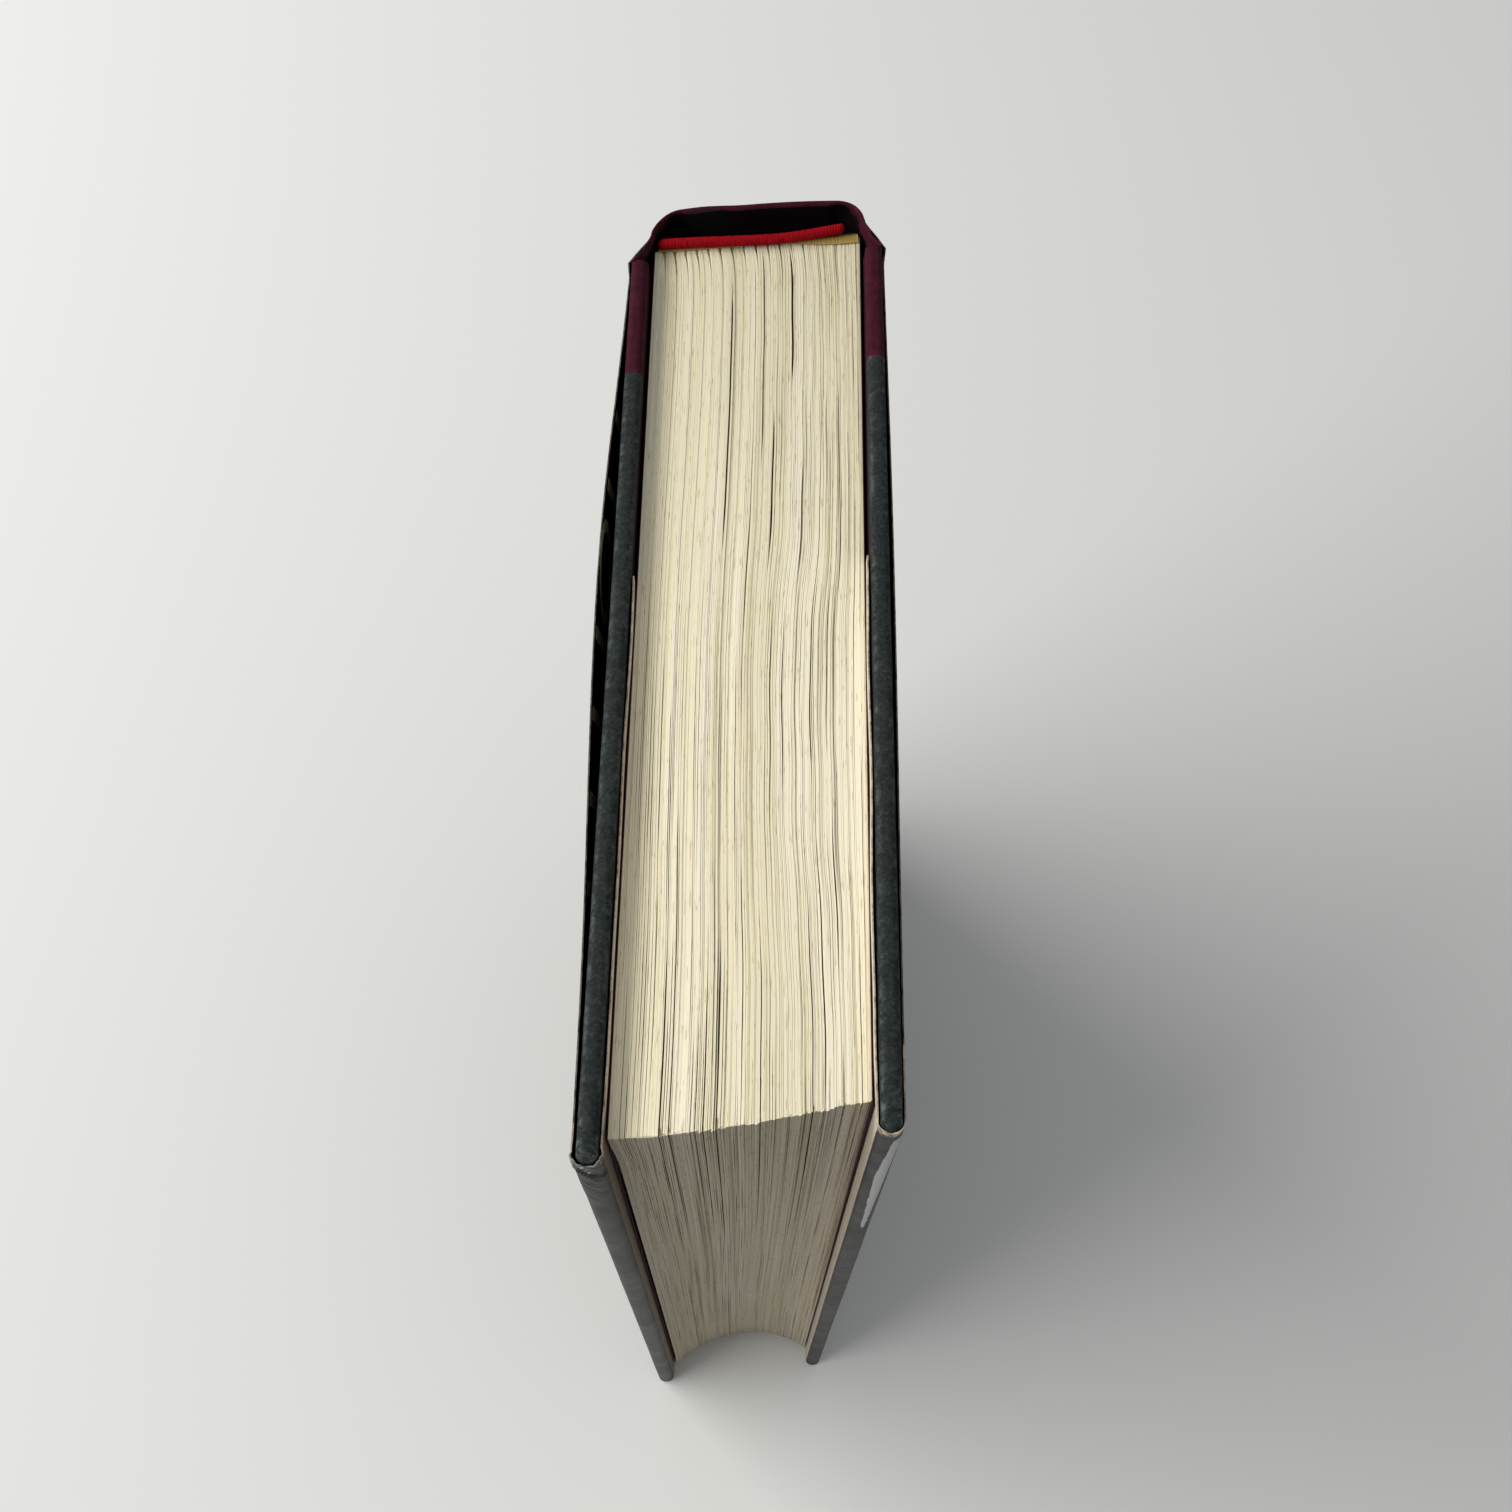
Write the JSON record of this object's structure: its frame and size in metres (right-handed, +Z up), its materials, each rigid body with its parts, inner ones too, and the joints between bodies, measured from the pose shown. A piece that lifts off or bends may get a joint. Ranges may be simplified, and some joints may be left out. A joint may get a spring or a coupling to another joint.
{
  "type": "hardcover book",
  "caption": "Thick sewn hardcover book in a loose paper jacket, standing on its tail, with both covers hinged at the joints of the spine.",
  "frame": {"origin": "bottom centre of the whole book's outline, on the surface that its tail stands on", "axes": "+Z up along the spine from tail to head, +Y from the fore-edge to the spine, +X from the front cover to the back cover"},
  "size_m": [0.0456, 0.1698, 0.241],
  "materials": {
    "leaves": "uncoated cream book paper, trimmed edges",
    "endpaper": "uncoated dark maroon paper",
    "band": "woven red thread over a cord",
    "mull": "open-weave starched gauze",
    "lining": "brown kraft paper",
    "board": "pressed grey board",
    "side_paper": "matt slate grey cover paper with a fine mottled grain",
    "cloth": "fine maroon book cloth",
    "jacket": "gloss coated black paper, cream uncoated inside"
  },
  "bodies": {
    "book_block": {"text_block": "leaves", "front_flyleaf": "endpaper", "back_flyleaf": "endpaper", "headband": "band", "tailband": "band", "spine_mull": "mull", "spine_lining": "lining", "spine_stiffener": "board", "spine_cloth": "cloth", "jacket_spine": "jacket"},
    "front_cover": {"front_board": "board", "front_side_paper": "side_paper", "front_cloth": "cloth", "front_pastedown": "endpaper", "jacket_front": "jacket"},
    "back_cover": {"back_board": "board", "back_side_paper": "side_paper", "back_cloth": "cloth", "back_pastedown": "endpaper", "jacket_back": "jacket"}
  },
  "joints": [
    {"name": "front_cover_hinge", "type": "hinge", "parent": "book_block", "child": "front_cover", "pos_m": [-0.0207, 0.07203, 0.1205], "axis": [0, 0, -1], "range_deg": [0, 180]},
    {"name": "back_cover_hinge", "type": "hinge", "parent": "book_block", "child": "back_cover", "pos_m": [0.02231, 0.07673, 0.1205], "axis": [0, 0, 1], "range_deg": [0, 180]}
  ]
}
